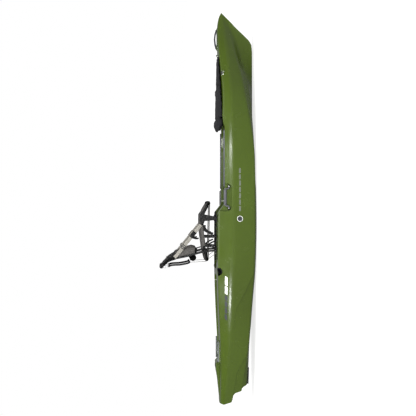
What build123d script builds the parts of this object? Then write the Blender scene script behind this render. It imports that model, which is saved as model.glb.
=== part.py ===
from build123d import *

import math
import os

# Sit-on-top fishing kayak with a raised frame seat. Millimetres, +X bow, +Y port, +Z up.

os.makedirs("parts", exist_ok=True)

# Hull sizes
length = 3714.0  # stern transom to stem tip
beam = 890.0  # across the beam crease, the widest line of the hull
depth = 357.0  # keel to the gunwale beside the seat
skin = 4.0  # moulded polyethylene wall

# The hull lines below are drawn at these sizes and stretch with the three above.
kx, ky, kz = length / 3714.0, beam / 890.0, depth / 357.0

# Stations, stern to stem: each section leans forward from its keel x to its deck x.
stations = [
    (-1870, -1870), (-1700, -1700), (-1450, -1450), (-1100, -1100), (-700, -700), (-300, -300), (150, 150),
    (600, 600), (950, 950), (1190, 1215), (1360, 1440), (1460, 1600), (1520, 1730), (1565, 1855),
]
# Half-breadths, then heights, of each long line at those stations, from the keel round to the deck.
lines = {
    "keel": ([13, 15, 20, 26, 28, 30, 28, 24, 18, 13, 8, 6, 5, 3],
             [62, 58, 50, 37, 14, 0, 2, 14, 17, 17, 17, 17, 17, 17]),
    "tunnel": ([46, 69, 101, 138, 161, 170, 164, 138, 101, 55, 28, 17, 9, 3.4],
               [76, 74, 66, 55, 30, 16, 18, 28, 32, 40, 56, 68, 83, 108]),
    "runner": ([78, 120, 184, 263, 309, 327, 318, 267, 189, 106, 59, 35, 17, 4],
               [84, 80, 64, 45, 16, 0, 2, 18, 37, 68, 120, 153, 190, 250]),
    "chine": ([97, 148, 226, 313, 369, 392, 384, 343, 277, 205, 138, 88, 46, 4.6],
              [131, 121, 88, 56, 30, 16, 17, 26, 82, 126, 169, 206, 243, 293]),
    "crease": ([115, 184, 266, 358, 420, 445, 439, 406, 343, 267, 187, 122, 65, 5],
               [292, 284, 266, 247, 232, 224, 227, 232, 238, 249, 262, 273, 285, 304]),
    "gunwale": ([103, 168, 242, 327, 392, 415, 408, 376, 315, 242, 166, 105, 53, 4],
                [317, 320, 324, 340, 359, 361, 355, 334, 311, 319, 337, 345, 341, 309]),
    "deck": ([65, 111, 166, 230, 277, 295, 290, 258, 212, 157, 101, 61, 28, 2],
             [330, 333, 336, 350, 364, 367, 361, 341, 322, 330, 345, 354, 350, 311]),
}
softness = {"keel": 6, "tunnel": 40, "runner": 16, "chine": 18, "crease": 26, "gunwale": 12, "deck": 50}
# How far each aft recess pulls the chine and runner in at the first stations, before it fades out.
recess_pulls = [[0, 4, 10, 18, 20, 20], [10, 18, 24, 28, 22, 20], [26, 34, 42, 40, 24, 10]]

# Fittings
screw_radius = 4.5
rail_y = 265.0 * ky  # seat rails, from the centreline
shelf_z = 347.0 * kz
rail_tall = 13.0
seat_y = rail_y - 9.0  # seat side tubes
tube = 12.5  # seat tube radius
sx = -283.0 * (kx - 1)  # the seat keeps its size and moves with the hull
sz = shelf_z - 347.0
dip_z = 297.0 * kz
cockpit_floor = 100.0 * kz
tank_floor = 205.0 * kz
bow_floor = 185.0 * kz
brace_y = 247.0 * ky
bin_top = 150.0 * kz
plug_x, plug_z = -1491.0 * kx, 367.0 * kz


def mirrored(points):
    return points + [(x, -y) for x, y in reversed(points)]


def side_prism(points, wide=1200.0, middle=0.0):
    """A closed outline in X and Z, extruded both ways across the hull."""
    with BuildPart() as prism:
        with BuildSketch(Plane.XZ.offset(-middle)):
            with BuildLine():
                Polyline([(x * kx, z * kz) for x, z in points], close=True)
            make_face()
        extrude(amount=wide / 2, both=True)
    return prism.part


def towards(start, end, distance):
    step = min(distance, 0.3 * math.dist(start, end)) / math.dist(start, end)
    return (start[0] + (end[0] - start[0]) * step, start[1] + (end[1] - start[1]) * step)


def section(index, inset=0.0, pull=0.0):
    """One hull section, its corners rounded, moved in by inset and by pull along the bottom lines."""
    keel_x, deck_x = stations[index][0] * kx, stations[index][1] * kx
    keel_z, deck_z = lines["keel"][1][index] * kz, lines["deck"][1][index] * kz
    lean = math.hypot(deck_x - keel_x, deck_z - keel_z)
    normal = (deck_z - keel_z, 0, keel_x - deck_x)
    corners = []
    for order, (name, (across, heights)) in enumerate(lines.items()):
        y = across[index] * ky
        z = heights[index] * kz
        if name not in ("keel", "tunnel", "deck") or y < 40:
            y -= inset
        if name in ("runner", "chine"):
            y -= pull
        if name in ("keel", "tunnel", "runner", "chine"):
            z += inset
        elif name != "crease":
            z -= inset
        corners.append((max(y, 0.5 * order + 0.5), (z - keel_z) * lean / (deck_z - keel_z)))
    ring = corners + [(-y, z) for y, z in reversed(corners)]
    soft = [softness[name] for name in lines]
    soft += soft[::-1]
    with BuildSketch(Plane(origin=(keel_x, 0, keel_z), x_dir=(0, 1, 0), z_dir=normal)) as face:
        with BuildLine():
            for k, corner in enumerate(ring):
                after = (k + 1) % len(ring)
                leave = towards(corner, ring[after], soft[k])
                Bezier(towards(corner, ring[k - 1], soft[k]), corner, leave)
                Line(leave, towards(ring[after], corner, soft[after]))
        make_face()
    return face.sketch


def hull_form(count, inset=0.0, pulls=()):
    pulls = list(pulls) + [0] * (count - len(pulls))
    with BuildPart() as form:
        loft(sections=[section(index, inset, pulls[index]) for index in range(count)])
    return form.part


def well(half_plan, floor, rounding, draft, grow=0.0):
    """A moulded well, open upwards. With grow it is the space its walls take out of the cavity."""
    with BuildPart() as tool:
        steps = [(floor - grow, 9, 9, 45), (floor - grow + 9, 0, 421 * kz - floor + grow, draft)]
        for z, inward, tall, slope in steps:
            with BuildSketch(Plane.XY.offset(z)):
                with BuildLine():
                    Polyline([(x * kx, y * ky) for x, y in mirrored(half_plan)], close=True)
                make_face()
                fillet(vertices(), rounding)
                if grow != inward:
                    offset(amount=grow - inward)
            extrude(amount=tall, taper=-slope)
    return tool.part


# Hull
profile = [
    (-1830, 420), (-1842, 339), (-1856, 292), (-1834, 220), (-1812, 212), (-1768, 203), (-1746, 186), (-1728, 127),
    (-1702, 118), (-1688, 101), (-1668, 58), (-1668, 30), (-1400, 0), (1420, 0), (1480, 17), (1550, 24), (1578, 37),
    (1600, 54), (1640, 94), (1720, 179), (1799, 249), (1858, 309), (1858, 420), (860, 420), (850, 313), (790, 311),
    (750, 297), (55, 297), (30, 303), (-45, 361), (-60, 420),
]
cavity_profile = [
    (-1802, 400), (-1822, 292), (-1802, 232), (-1740, 214), (-1716, 194), (-1692, 132), (-1658, 104), (-1642, 68),
    (-1642, 34), (-1400, 2), (1420, 2), (1470, 30), (1530, 34), (1578, 56), (1612, 90), (1680, 162), (1680, 336),
    (1450, 336), (862, 308), (848, 307), (790, 305), (752, 291), (52, 291), (20, 300), (-54, 341), (-520, 341),
    (-530, 400),
]
swoosh = [(-1900, 262), (-1160, 262), (-1110, 223), (-1080, 211), (-1010, 206), (-920, 189), (-790, 118), (-650, 54),
          (-540, -10), (-1900, -10)]
upper_step = [(-1900, 218), (-1740, 205), (-1532, 173), (-1387, 95), (-1290, 38), (-1290, -10), (-1900, -10)]
lower_step = [(-1900, 144), (-1695, 122), (-1472, 89), (-1216, 61), (-960, 32), (-900, -10), (-1900, -10)]
cockpit_plan = [(-542, 140), (-515, 190), (-70, 195), (70, 258), (560, 255), (690, 215), (765, 120)]
tank_plan = [(-1395, 90), (-1355, 135), (-1000, 195), (-700, 228), (-668, 212), (-652, 150)]
bow_plan = [(905, 130), (930, 175), (1150, 138), (1345, 72), (1375, 40)]
bin_plan = [(168, 52), (532, 52)]
stern_rise = [(-1812, 318), (-1812, 330), (-1617, 350), (-1557, 361), (-1519, 367), (-1463, 367), (-1432, 338),
              (-1432, 318)]
wells = [
    (cockpit_plan, cockpit_floor, 36, 7),
    (tank_plan, tank_floor, 28, 8),
    (bow_plan, bow_floor, 22, 8),
    (bin_plan, 62 * kz, 14, 2),
]
scuppers = [(-430, 130), (645, 110), (-760, 140)]
recess_y = 404.0 * ky  # flat back of the recess behind each side handle
holder_mouth = Vector(-581 * kx, 384 * ky, 342 * kz)  # flush rod holder, port side, leaning aft and outboard
holder_axis = Vector(-0.314, 0.52, 0.794).normalized()


def holder_plane(side, along=0.0):
    mouth = holder_mouth + holder_axis * along
    return Plane(origin=(mouth.X, side * mouth.Y, mouth.Z), z_dir=(holder_axis.X, side * holder_axis.Y, holder_axis.Z))


def block(x, y, z, mode=Mode.ADD):
    """A box between two values on each axis, at both sides of the hull when y doesn't cross the centreline."""
    for side in (1, -1) if y[0] > 0 else (1,):
        with Locations(((x[0] + x[1]) / 2, side * (y[0] + y[1]) / 2, (z[0] + z[1]) / 2)):
            Box(x[1] - x[0], y[1] - y[0], z[1] - z[0], mode=mode)


with BuildPart() as keep_out:
    for x, y in scuppers:
        with Locations((x * kx, y * ky, 200), (x * kx, -y * ky, 200)):
            Cylinder(19, 420)
    block((-50 * kx, 240 * kx), (recess_y - skin, 460), (220 * kz, 340))
for plan, floor, rounding, draft in wells:
    keep_out.part = keep_out.part + well(plan, floor, rounding, draft, skin)

with BuildPart() as hull:
    add(hull_form(14))
    add(side_prism(profile), mode=Mode.INTERSECT)
    for step, pulls in zip([swoosh, upper_step, lower_step], recess_pulls):
        add(side_prism(step) - hull_form(6, pulls=pulls), mode=Mode.SUBTRACT)
    add(hull_form(13, skin, recess_pulls[2]) & side_prism(cavity_profile) - keep_out.part, mode=Mode.SUBTRACT)
    # Moulded pads and bosses
    with BuildSketch(Plane.XY.offset(310 * kz)):
        with BuildLine():
            Polyline([(x * kx, y * ky) for x, y in mirrored([(-1812, 60), (-1432, 138)])], close=True)
        make_face()
    rise = extrude(amount=80, mode=Mode.PRIVATE) & side_prism(stern_rise)
    add(rise)
    block((1494 * kx, 1706 * kx), (-15, 15), (325 * kz, 356 * kz))
    block((-1442 * kx, -1246 * kx), (181 * ky, 211 * ky), (315 * kz, 345 * kz))
    block((1428 * kx, 1456 * kx), (-13, 13), (325 * kz, 349 * kz))
    block((1236 * kx, 1278 * kx), (205 * ky, 241 * ky), (298 * kz, 322 * kz))
    for side in (1, -1):
        with BuildSketch(holder_plane(side)):
            Circle(37)
        extrude(amount=-12)
    # Wells, then what stands in them
    for plan, floor, rounding, draft in wells[:3]:
        add(well(plan, floor, rounding, draft), mode=Mode.SUBTRACT)
    block((138 * kx, 552 * kx), (brace_y, brace_y + 34), (164 * kz, 214 * kz))
    block((138 * kx, 562 * kx), (-78, 78), (cockpit_floor - 3, bin_top))
    add(well(*wells[3]), mode=Mode.SUBTRACT)
    # Seat shelves, handle recesses, rod holder seats, drains and the skid plate's rebate
    block((-508 * kx, -28 * kx), (-297 * ky, 297 * ky), (shelf_z, 460), Mode.SUBTRACT)
    for side in (1, -1):
        with BuildSketch(Plane.XZ.offset(-side * recess_y)):
            with Locations((95 * kx, 300 * kz)):
                RectangleRounded(256 * kx, 124 * kz, 40)
        extrude(amount=-side * 100, mode=Mode.SUBTRACT)
        with BuildSketch(holder_plane(side)):
            Circle(37.5)
        extrude(amount=60, mode=Mode.SUBTRACT)
        with BuildSketch(holder_plane(side)):
            Circle(25.2)
        extrude(amount=-14, mode=Mode.SUBTRACT)
        for x, y in scuppers:
            with Locations((x * kx, side * y * ky, 200)):
                Cylinder(13, 420, mode=Mode.SUBTRACT)
    with Locations((plug_x, 0, plug_z - 10)):
        Cylinder(11.95, 20, mode=Mode.SUBTRACT)
    add(side_prism([(-1700, 20), (-1700, 64), (-1670, 63), (-1520, 58), (-1520, 20)], 80.6), mode=Mode.SUBTRACT)
hull.part.label = "hull"
export_step(hull.part, "parts/hull.step")
print("hull", hull.part.is_valid, round(hull.part.volume / 1e6, 2), len(hull.part.solids()), len(hull.part.faces()))


def finish(part, name):
    part.part.label = name
    export_step(part.part, f"parts/{name}.step")


def tube_run(points, bends, radius, hollow=0.0):
    """Half of a bent tube, from the centreline out and back, to be mirrored to the other side."""
    with BuildPart() as run:
        with BuildLine() as path:
            FilletPolyline(*points, radius=bends)
        with BuildSketch(Plane(origin=path.line @ 0, z_dir=path.line % 0)):
            Circle(radius)
        sweep()
    return run.part


def both_sides(shape):
    add(shape)
    add(shape.mirror(Plane.XZ))


def outline(points, side_y, thick):
    """An outline in X and Z made solid from side_y outwards."""
    with BuildPart() as plate:
        with BuildSketch(Plane.XZ.offset(-side_y)):
            with BuildLine():
                Polyline(points, close=True)
            make_face()
        extrude(amount=-thick)
    return plate.part


def band(points, wide):
    """The outline of a flat strap, wide across, that follows points in X and Z."""
    left, right = [], []
    for k, point in enumerate(points):
        before, after = points[max(k - 1, 0)], points[min(k + 1, len(points) - 1)]
        run = math.dist(before, after)
        nx, nz = -(after[1] - before[1]) / run * wide / 2, (after[0] - before[0]) / run * wide / 2
        left.append((point[0] + nx, point[1] + nz))
        right.append((point[0] - nx, point[1] - nz))
    return left + right[::-1]


def seat(points):
    return [(x + sx, z + sz) for x, z in points]


def dots(places, radius, tall):
    """Pan-head screws at (x, y, z) places, heads up, with a cross-drive socket."""
    for x, y, z in places:
        with Locations((x, y, z + tall / 2)):
            Cylinder(radius, tall)
        with Locations((x, y, z + tall)):
            Box(radius, 1.2, tall, mode=Mode.SUBTRACT)
            Box(1.2, radius, tall, mode=Mode.SUBTRACT)


def rod(start, end, radius):
    with BuildPart() as bar:
        with BuildSketch(Plane(origin=start, z_dir=Vector(*end) - Vector(*start))):
            Circle(radius)
        extrude(amount=(Vector(*end) - Vector(*start)).length)
    return bar.part


# Skid plate
with BuildPart() as skid_plate:
    add(side_prism([(-1673, 53), (-1520.4, 48), (-1520.4, 57.9), (-1670, 62.9)], 80))
finish(skid_plate, "skid_plate")

# Seat rails on the shelves
rail_top = shelf_z + rail_tall
rail_x = (-502 * kx, -38 * kx)
with BuildPart() as seat_rails:
    block(rail_x, (rail_y - 14, rail_y + 14), (shelf_z, rail_top))
    block((rail_x[0] + 8, rail_x[1] - 8), (rail_y - 3, rail_y + 3), (rail_top - 6, rail_top + 1), Mode.SUBTRACT)
    fillet(seat_rails.edges().filter_by(Axis.Z).group_by(Axis.X)[0], 2)
finish(seat_rails, "seat_rails")
rail_screw_places = [(rail_x[0] + 30 + k * 101 * kx, s * rail_y, rail_top - 6) for k in range(5) for s in (1, -1)]
with BuildPart() as rail_screws:
    dots(rail_screw_places, 2.8, 2.5)
finish(rail_screws, "rail_screws")

# Seat feet straddle the rails and slide on them
feet = [(-412, -350), (-287, -255), (-128, -68)]
with BuildPart() as seat_feet:
    for x0, x1 in feet:
        block((x0 + sx, x1 + sx), (rail_y - 19, rail_y + 19), (rail_top - 9, rail_top + 10))
    block((-600 + sx, 100 + sx), (rail_y - 14.4, rail_y + 14.4), (rail_top - 12, rail_top + 0.4), Mode.SUBTRACT)
    fillet(seat_feet.faces().sort_by(Axis.Z)[-1].edges(), 2.5)
finish(seat_feet, "seat_feet")
foot_top = rail_top + 10

# Seat frame: one bent tube each side, joined on the centreline
frame_route = [
    (-483, 0, 456), (-483, 1, 456), (-365, 1, 482), (-193, 1, 505), (-80, 1, 503), (43, 1, 442), (43, 0, 442),
]
frame_route = [(x + sx, y * seat_y, z + sz) for x, y, z in frame_route]
with BuildPart() as seat_frame:
    both_sides(tube_run(frame_route, [55, 120, 150, 90, 50], tube))
finish(seat_frame, "seat_frame")

# Seat legs
with BuildPart() as rear_legs:
    for side in (1, -1):
        for top, foot in [((-404, 472), (-396, 380)), ((-354, 482), (-364, 380)), ((-271, 493), (-271, 380))]:
            (x0, z0), (x1, z1) = seat([top, foot])
            add(rod((x1, side * seat_y, foot_top - 2), (x0, side * seat_y, z0), 9))
    add(seat_frame.part, mode=Mode.SUBTRACT)
    add(seat_feet.part, mode=Mode.SUBTRACT)
rear_legs.part = Compound([leg for leg in rear_legs.part.solids() if leg.volume > 15000])
finish(rear_legs, "rear_legs")
with BuildPart() as front_legs:
    both_sides(outline(seat([(-124, 478), (-62, 478), (-82, 370), (-114, 370)]), seat_y - 11, 22))
    fillet(front_legs.edges().filter_by(lambda edge: abs(edge.tangent_at(0.5).Z) > 0.9), 4)
finish(front_legs, "front_legs")

# Front brackets clamp the side tubes over the front legs
bracket_outline = seat([
    (-150, 486), (-146, 516), (-120, 524), (-62, 522), (-34, 504), (-40, 482), (-62, 478), (-124, 478),
])
with BuildPart() as seat_brackets:
    both_sides(outline(bracket_outline, seat_y - 17, 30.4))
    add(seat_frame.part, mode=Mode.SUBTRACT)
finish(seat_brackets, "seat_brackets")

# Backrest pivot
pivot_x, pivot_z = -400 + sx, 472 + sz
back_y = seat_y + tube + 13.5
back_tube = 11.0
with BuildPart() as pivot_lugs:
    for side in (1, -1):
        with BuildSketch(Plane.XZ.offset(-side * (seat_y + 4))):
            with Locations((pivot_x, pivot_z)):
                Circle(17)
        extrude(amount=-side * 9.5)
        add(rod((pivot_x, side * (seat_y + 12), pivot_z), (pivot_x, side * (back_y + 13), pivot_z), 4))
        add(rod((pivot_x, side * (back_y + 12.4), pivot_z), (pivot_x, side * (back_y + 16), pivot_z), 9))
    add(seat_frame.part, mode=Mode.SUBTRACT)
    add(rear_legs.part, mode=Mode.SUBTRACT)
pivot_lugs.part = Compound([lug for lug in pivot_lugs.part.solids() if lug.volume > 3000])
finish(pivot_lugs, "pivot_lugs")

# Backrest frame
back_route = [(-550, 0, 880), (-550, 1, 880), (-492, 1, 822), (-466, 1, 745), (-446, 1, 640), (-400, 1, 472)]
back_route = [(x + sx, y * back_y, z + sz) for x, y, z in back_route]
with BuildPart() as back_frame:
    both_sides(tube_run(back_route, [42, 90, 160, 300], back_tube))
    for side in (1, -1):
        add(rod((pivot_x, side * (back_y - 12), pivot_z), (pivot_x, side * (back_y + 12), pivot_z), 15))
        add(rod((pivot_x, side * (back_y - 30), pivot_z), (pivot_x, side * (back_y + 30), pivot_z), 4.06),
            mode=Mode.SUBTRACT)
finish(back_frame, "back_frame")

# Second upright behind the lower pad, from the frame to the hub
with BuildPart() as back_struts:
    both_sides(outline(seat(band([(-378, 486), (-386, 520), (-418, 600)], 12)), back_y - 6, 12))
    add(back_frame.part, mode=Mode.SUBTRACT)
back_struts.part = Compound([strut for strut in back_struts.part.solids() if strut.volume > 3000])
finish(back_struts, "back_struts")

# Soft parts of the seat
inner_y = seat_y - tube - 6
with BuildPart() as seat_pan:
    add(outline(seat([(-464, 445), (-365, 454), (-193, 468), (-90, 474), (18, 436), (18, 446), (-88, 485),
                      (-193, 479), (-365, 464), (-464, 455)]), -inner_y, 2 * inner_y))
    with BuildSketch(Plane.XY.offset(400 + sz)):
        with Locations((-223 + sx, 0)):
            RectangleRounded(482, 2 * inner_y, 46)
    extrude(amount=150, mode=Mode.INTERSECT)
finish(seat_pan, "seat_pan")
with BuildPart() as back_panel:
    add(outline(seat([(-418, 552), (-384, 560), (-392, 620), (-430, 735), (-450, 738), (-428, 640)]), -(back_y - 14),
                2 * back_y - 28))
finish(back_panel, "back_panel")
with BuildPart() as head_mesh:
    add(outline(seat([(-450, 744), (-432, 741), (-452, 800), (-516, 868), (-530, 858), (-478, 810)]), -(back_y - 14),
                2 * back_y - 28))
finish(head_mesh, "head_mesh")
with BuildPart() as lumbar_pad:
    add(outline(seat([(-500, 556), (-436, 550), (-436, 604), (-468, 618), (-500, 606)]), -205 * ky, 410 * ky))
finish(lumbar_pad, "lumbar_pad")

# Webbing
strap_top = Vector(-462 + sx, back_y + 13.2, 758 + sz)
strap_end = Vector(-158 + sx, seat_y + 15.2, 514 + sz)
with BuildPart() as side_straps:
    for side in (1, -1):
        start = Vector(strap_top.X, side * strap_top.Y, strap_top.Z)
        end = Vector(strap_end.X, side * strap_end.Y, strap_end.Z)
        along = (end - start).normalized()
        with BuildSketch(Plane(origin=start, x_dir=Vector(0, 1, 0).cross(along), z_dir=along)):
            Rectangle(38, 2.4)
        extrude(amount=(end - start).length)
finish(side_straps, "side_straps")
with BuildPart() as strap_sliders:
    for side in (1, -1):
        spot = strap_top + (strap_end - strap_top) * 0.33
        with BuildSketch(Plane.XZ.offset(-side * (spot.Y + 3.4))):
            with Locations((spot.X, spot.Z)):
                Circle(22)
        extrude(amount=-side * 6)
finish(strap_sliders, "strap_sliders")
with BuildPart() as rear_straps:
    hang = band([(-549, 816), (-536, 784), (-531, 705), (-517, 632), (-500, 612)], 19)
    both_sides(outline(seat(hang), 196 * ky, 2.6))
finish(rear_straps, "rear_straps")
with BuildPart() as strap_rings:
    for side in (1, -1):
        with BuildSketch(Plane.XZ.offset(-side * 195 * ky)):
            with Locations((-552 + sx, 843 + sz)):
                SlotOverall(50, 20, rotation=90)
                SlotOverall(42, 12, rotation=90, mode=Mode.SUBTRACT)
        extrude(amount=-side * 4)
    add(back_frame.part, mode=Mode.SUBTRACT)
strap_rings.part = Compound([ring for ring in strap_rings.part.solids() if ring.volume > 800])
finish(strap_rings, "strap_rings")
with BuildPart() as tie_straps:
    both_sides(outline(seat(band([(-348, 448), (-328, 425), (-306, 378)], 15)), seat_y + 12, 2.6))
finish(tie_straps, "tie_straps")
with BuildPart() as pull_straps:
    pull = band([(-160, 480), (-190, 478), (-222, 452), (-234, 428), (-241, 400)], 19)
    both_sides(outline(seat(pull), seat_y + 15, 2.6))
finish(pull_straps, "pull_straps")

# Cords of the seat
with BuildPart() as pan_cords:
    for y in (90 * ky, 200 * ky):
        both_sides(rod((-483 + sx, y, 440.5 + sz), (43 + sx, y, 426.5 + sz), 2.4))
finish(pan_cords, "pan_cords")
with BuildPart() as recline_cords:
    both_sides(rod((-508 + sx, 198 * ky, 604 + sz), (-502 + sx, 198 * ky, 462 + sz), 2.4))
finish(recline_cords, "recline_cords")
with BuildPart() as tie_cords:
    both_sides(rod((-474 + sx, 234 * ky, 441 + sz), (-416 + sx, rail_y - 16, rail_top + 3), 2.4))
finish(tie_cords, "tie_cords")

# Gear tracks: slotted extrusions
track_y = 330 * ky
deck_tracks = [((196 * kx, 716 * kx), track_y, dip_z), ((-1436 * kx, -1252 * kx), 196 * ky, 345 * kz)]
with BuildPart() as gear_tracks:
    for x, y, z in deck_tracks:
        block(x, (y - 14, y + 14), (z, z + 10))
        block((x[0] - 1, x[1] + 1), (y - 8, y + 8), (z + 3, z + 7), Mode.SUBTRACT)
        block((x[0] - 1, x[1] + 1), (y - 3.5, y + 3.5), (z + 3, z + 11), Mode.SUBTRACT)
finish(gear_tracks, "gear_tracks")
with BuildPart() as track_caps:
    for x, y, z in deck_tracks:
        for start in (x[0] - 9.4, x[1] + 0.4):
            block((start, start + 9), (y - 14, y + 14), (z, z + 10))
    fillet(track_caps.edges().filter_by(Axis.Z), 3)
finish(track_caps, "track_caps")
with BuildPart() as track_screws:
    for x, y, z in deck_tracks:
        count = round((x[1] - x[0]) / 100)
        spread = [x[0] + (k + 0.5) * (x[1] - x[0]) / count for k in range(count)]
        dots([(place, side * y, z + 3) for place in spread for side in (1, -1)], 3.2, 2.2)
finish(track_screws, "track_screws")

# Side carry handles hang on pins between two anchors
grip_y = recess_y + 17
pin_z = 262 * kz
anchor_x = (-4 * kx, 196 * kx)
with BuildPart() as handle_anchors:
    for x in anchor_x:
        block((x - 9, x + 9), (recess_y, grip_y + 9), (pin_z - 11, pin_z + 11))
    fillet(handle_anchors.edges().filter_by(Axis.X), 4)
    for side in (1, -1):
        add(rod((anchor_x[0] - 30, side * grip_y, pin_z), (anchor_x[1] + 30, side * grip_y, pin_z), 4.06),
            mode=Mode.SUBTRACT)
finish(handle_anchors, "handle_anchors")
with BuildPart() as anchor_screws:
    for side in (1, -1):
        for x in anchor_x:
            face_y = side * (grip_y + 9)
            add(rod((x, face_y, pin_z), (x, face_y + side * 2.5, pin_z), 5))
finish(anchor_screws, "anchor_screws")
bail = [(anchor_x[0] + 9.6, pin_z), (anchor_x[0] + 20, pin_z), (anchor_x[0] + 20, 296 * kz), (anchor_x[1] - 20, 296 * kz),
        (anchor_x[1] - 20, pin_z), (anchor_x[1] - 9.6, pin_z)]
for name, side in (("handle_port", 1), ("handle_starboard", -1)):
    with BuildPart() as handle:
        with BuildLine() as path:
            FilletPolyline(*[(x, side * grip_y, z) for x, z in bail], radius=[7, 14, 14, 7])
        with BuildSketch(Plane(origin=path.line @ 0, z_dir=path.line % 0)):
            Circle(6.5)
        sweep()
        add(rod((anchor_x[0] + 30, side * grip_y, 296 * kz), (anchor_x[1] - 30, side * grip_y, 296 * kz), 13))
        fillet(handle.edges().filter_by(GeomType.CIRCLE).filter_by(lambda edge: edge.radius > 12), 4)
        for x, step in ((anchor_x[0] + 9.6, -1), (anchor_x[1] - 9.6, 1)):
            add(rod((x - step * 2, side * grip_y, pin_z), (x + step * 16, side * grip_y, pin_z), 4))
    finish(handle, name)

# Bow handle
arch = [(1500, 356), (1512, 366), (1550, 377), (1600, 382), (1650, 377), (1688, 366), (1700, 356), (1664, 356),
        (1640, 364), (1600, 368), (1560, 364), (1536, 356)]
with BuildPart() as bow_handle:
    add(side_prism(arch, 30))
    fillet(bow_handle.edges().filter_by(lambda edge: abs(edge.tangent_at(0.5).Y) < 0.1), 3)
finish(bow_handle, "bow_handle")

# Rod holders: closed tubes with a rim, let into the deck behind the seat
with BuildPart() as rod_holders:
    for side in (1, -1):
        with BuildSketch(holder_plane(side)):
            Circle(36)
        extrude(amount=4)
        with BuildSketch(holder_plane(side)):
            Circle(25)
        extrude(amount=-185)
        with BuildSketch(holder_plane(side, 5)):
            Circle(21.5)
        extrude(amount=-186, mode=Mode.SUBTRACT)
finish(rod_holders, "rod_holders")

# Foot braces
with BuildPart() as brace_rails:
    block((146 * kx, 544 * kx), (brace_y - 12, brace_y), (178 * kz, 178 * kz + 24))
    block((150 * kx, 540 * kx), (brace_y - 13, brace_y - 6), (178 * kz + 9, 178 * kz + 15), Mode.SUBTRACT)
finish(brace_rails, "brace_rails")
for name, side in (("pedal_port", 1), ("pedal_starboard", -1)):
    with BuildPart() as pedal:
        for x, y, z in [((290, 350), (brace_y - 21, brace_y - 12.4), (-2, 26)), ((300, 310), (brace_y - 112, brace_y - 14), (-34, 62)),
                        ((309, 344), (brace_y - 60, brace_y - 20), (2, 22))]:
            middle = side * (y[0] + y[1]) / 2
            with Locations(((x[0] + x[1]) / 2 * kx, middle, 178 * kz + (z[0] + z[1]) / 2)):
                Box(x[1] - x[0], y[1] - y[0], z[1] - z[0])
        for rung in range(5):
            with Locations((300 * kx, side * (brace_y - 66), 178 * kz - 24 + rung * 19)):
                Box(5, 80, 5)
    finish(pedal, name)

# Floor pads
with BuildPart() as floor_pads:
    block((150 * kx, 540 * kx), (94 * ky, 226 * ky), (cockpit_floor, cockpit_floor + 4))
    fillet(floor_pads.edges().filter_by(Axis.Z), 20)
finish(floor_pads, "floor_pads")

# Centre bin lid on its hinge, with a turn knob
hinge_x, hinge_z = 553 * kx, bin_top + 6.2
with BuildPart() as bin_lid:
    block((144 * kx, hinge_x - 9), (-74, 74), (bin_top + 0.5, bin_top + 8))
    fillet(bin_lid.edges().filter_by(Axis.Z), 10)
    block((hinge_x - 11, hinge_x), (-30, 30), (bin_top + 2.5, bin_top + 8))
    add(rod((hinge_x, -30, hinge_z), (hinge_x, 30, hinge_z), 5))
    add(rod((hinge_x, -46, hinge_z), (hinge_x, 46, hinge_z), 2.5))
    with Locations((186 * kx, 0, bin_top + 5)):
        Cylinder(4.06, 14, mode=Mode.SUBTRACT)
finish(bin_lid, "bin_lid")
with BuildPart() as lid_hinges:
    for side in (1, -1):
        add(rod((hinge_x, side * 30.4, hinge_z), (hinge_x, side * 50, hinge_z), 5))
    block((hinge_x - 5, hinge_x + 5), (30.4, 50), (bin_top, hinge_z))
    add(rod((hinge_x, -60, hinge_z), (hinge_x, 60, hinge_z), 2.56), mode=Mode.SUBTRACT)
finish(lid_hinges, "lid_hinges")
with BuildPart() as lid_knob:
    add(rod((186 * kx, 0, bin_top + 8.4), (186 * kx, 0, bin_top + 13), 15))
    block((186 * kx - 14, 186 * kx + 14), (-3, 3), (bin_top + 12, bin_top + 21))
    add(rod((186 * kx, 0, bin_top + 1), (186 * kx, 0, bin_top + 9), 4))
finish(lid_knob, "lid_knob")

# Drain plug
with BuildPart() as drain_plug:
    add(rod((plug_x, 0, plug_z - 16), (plug_x, 0, plug_z), 11.9))
    add(rod((plug_x, 0, plug_z + 0.2), (plug_x, 0, plug_z + 5), 17))
    add(rod((plug_x, 0, plug_z - 1), (plug_x, 0, plug_z + 1), 10))
    for turn in range(8):
        notch_x, notch_y = 18 * math.cos(turn * math.pi / 4), 18 * math.sin(turn * math.pi / 4)
        with Locations((plug_x + notch_x, notch_y, plug_z + 3)):
            Cylinder(3, 8, mode=Mode.SUBTRACT)
finish(drain_plug, "drain_plug")

# Soft cover over the bow well, lashed down in front and rolled at its aft end
with BuildPart() as bow_cover:
    with BuildSketch(Plane.XY.offset(300 * kz)):
        with BuildLine():
            Polyline([(x * kx, y * ky) for x, y in mirrored([(874, 296), (1000, 278), (1200, 226), (1410, 148)])], close=True)
        make_face()
    cover_plan = extrude(amount=90, mode=Mode.PRIVATE)
    dome = side_prism([(874, 300), (874, 366), (1000, 361), (1200, 356), (1410, 350), (1410, 300)])
    add(hull_form(14, -11) & cover_plan & dome - hull_form(14, -1.5))
    bow_cover.part = Compound([max(bow_cover.part.solids(), key=lambda piece: piece.volume)])
finish(bow_cover, "bow_cover")
with BuildPart() as cover_roll:
    add(side_prism([(752, 302), (728, 318), (724, 345), (740, 368), (773, 383), (812, 378), (869, 369), (869, 335),
                    (846, 335), (846, 318), (792, 316)], 600 * ky))
finish(cover_roll, "cover_roll")
with BuildPart() as cover_buckle:
    with Locations((1085 * kx, 0, 367 * kz)):
        Box(46, 34, 9)
        with Locations((15, 0, 0)):
            Box(7, 24, 20, mode=Mode.SUBTRACT)
    fillet(cover_buckle.edges().filter_by(Axis.Z).group_by(Axis.X)[0], 4)
finish(cover_buckle, "cover_buckle")
with BuildPart() as cover_tabs:
    both_sides(outline([(1236 * kx, 325 * kz), (1278 * kx, 325 * kz), (1258 * kx, 303 * kz)], 241 * ky, 3.5))
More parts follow.
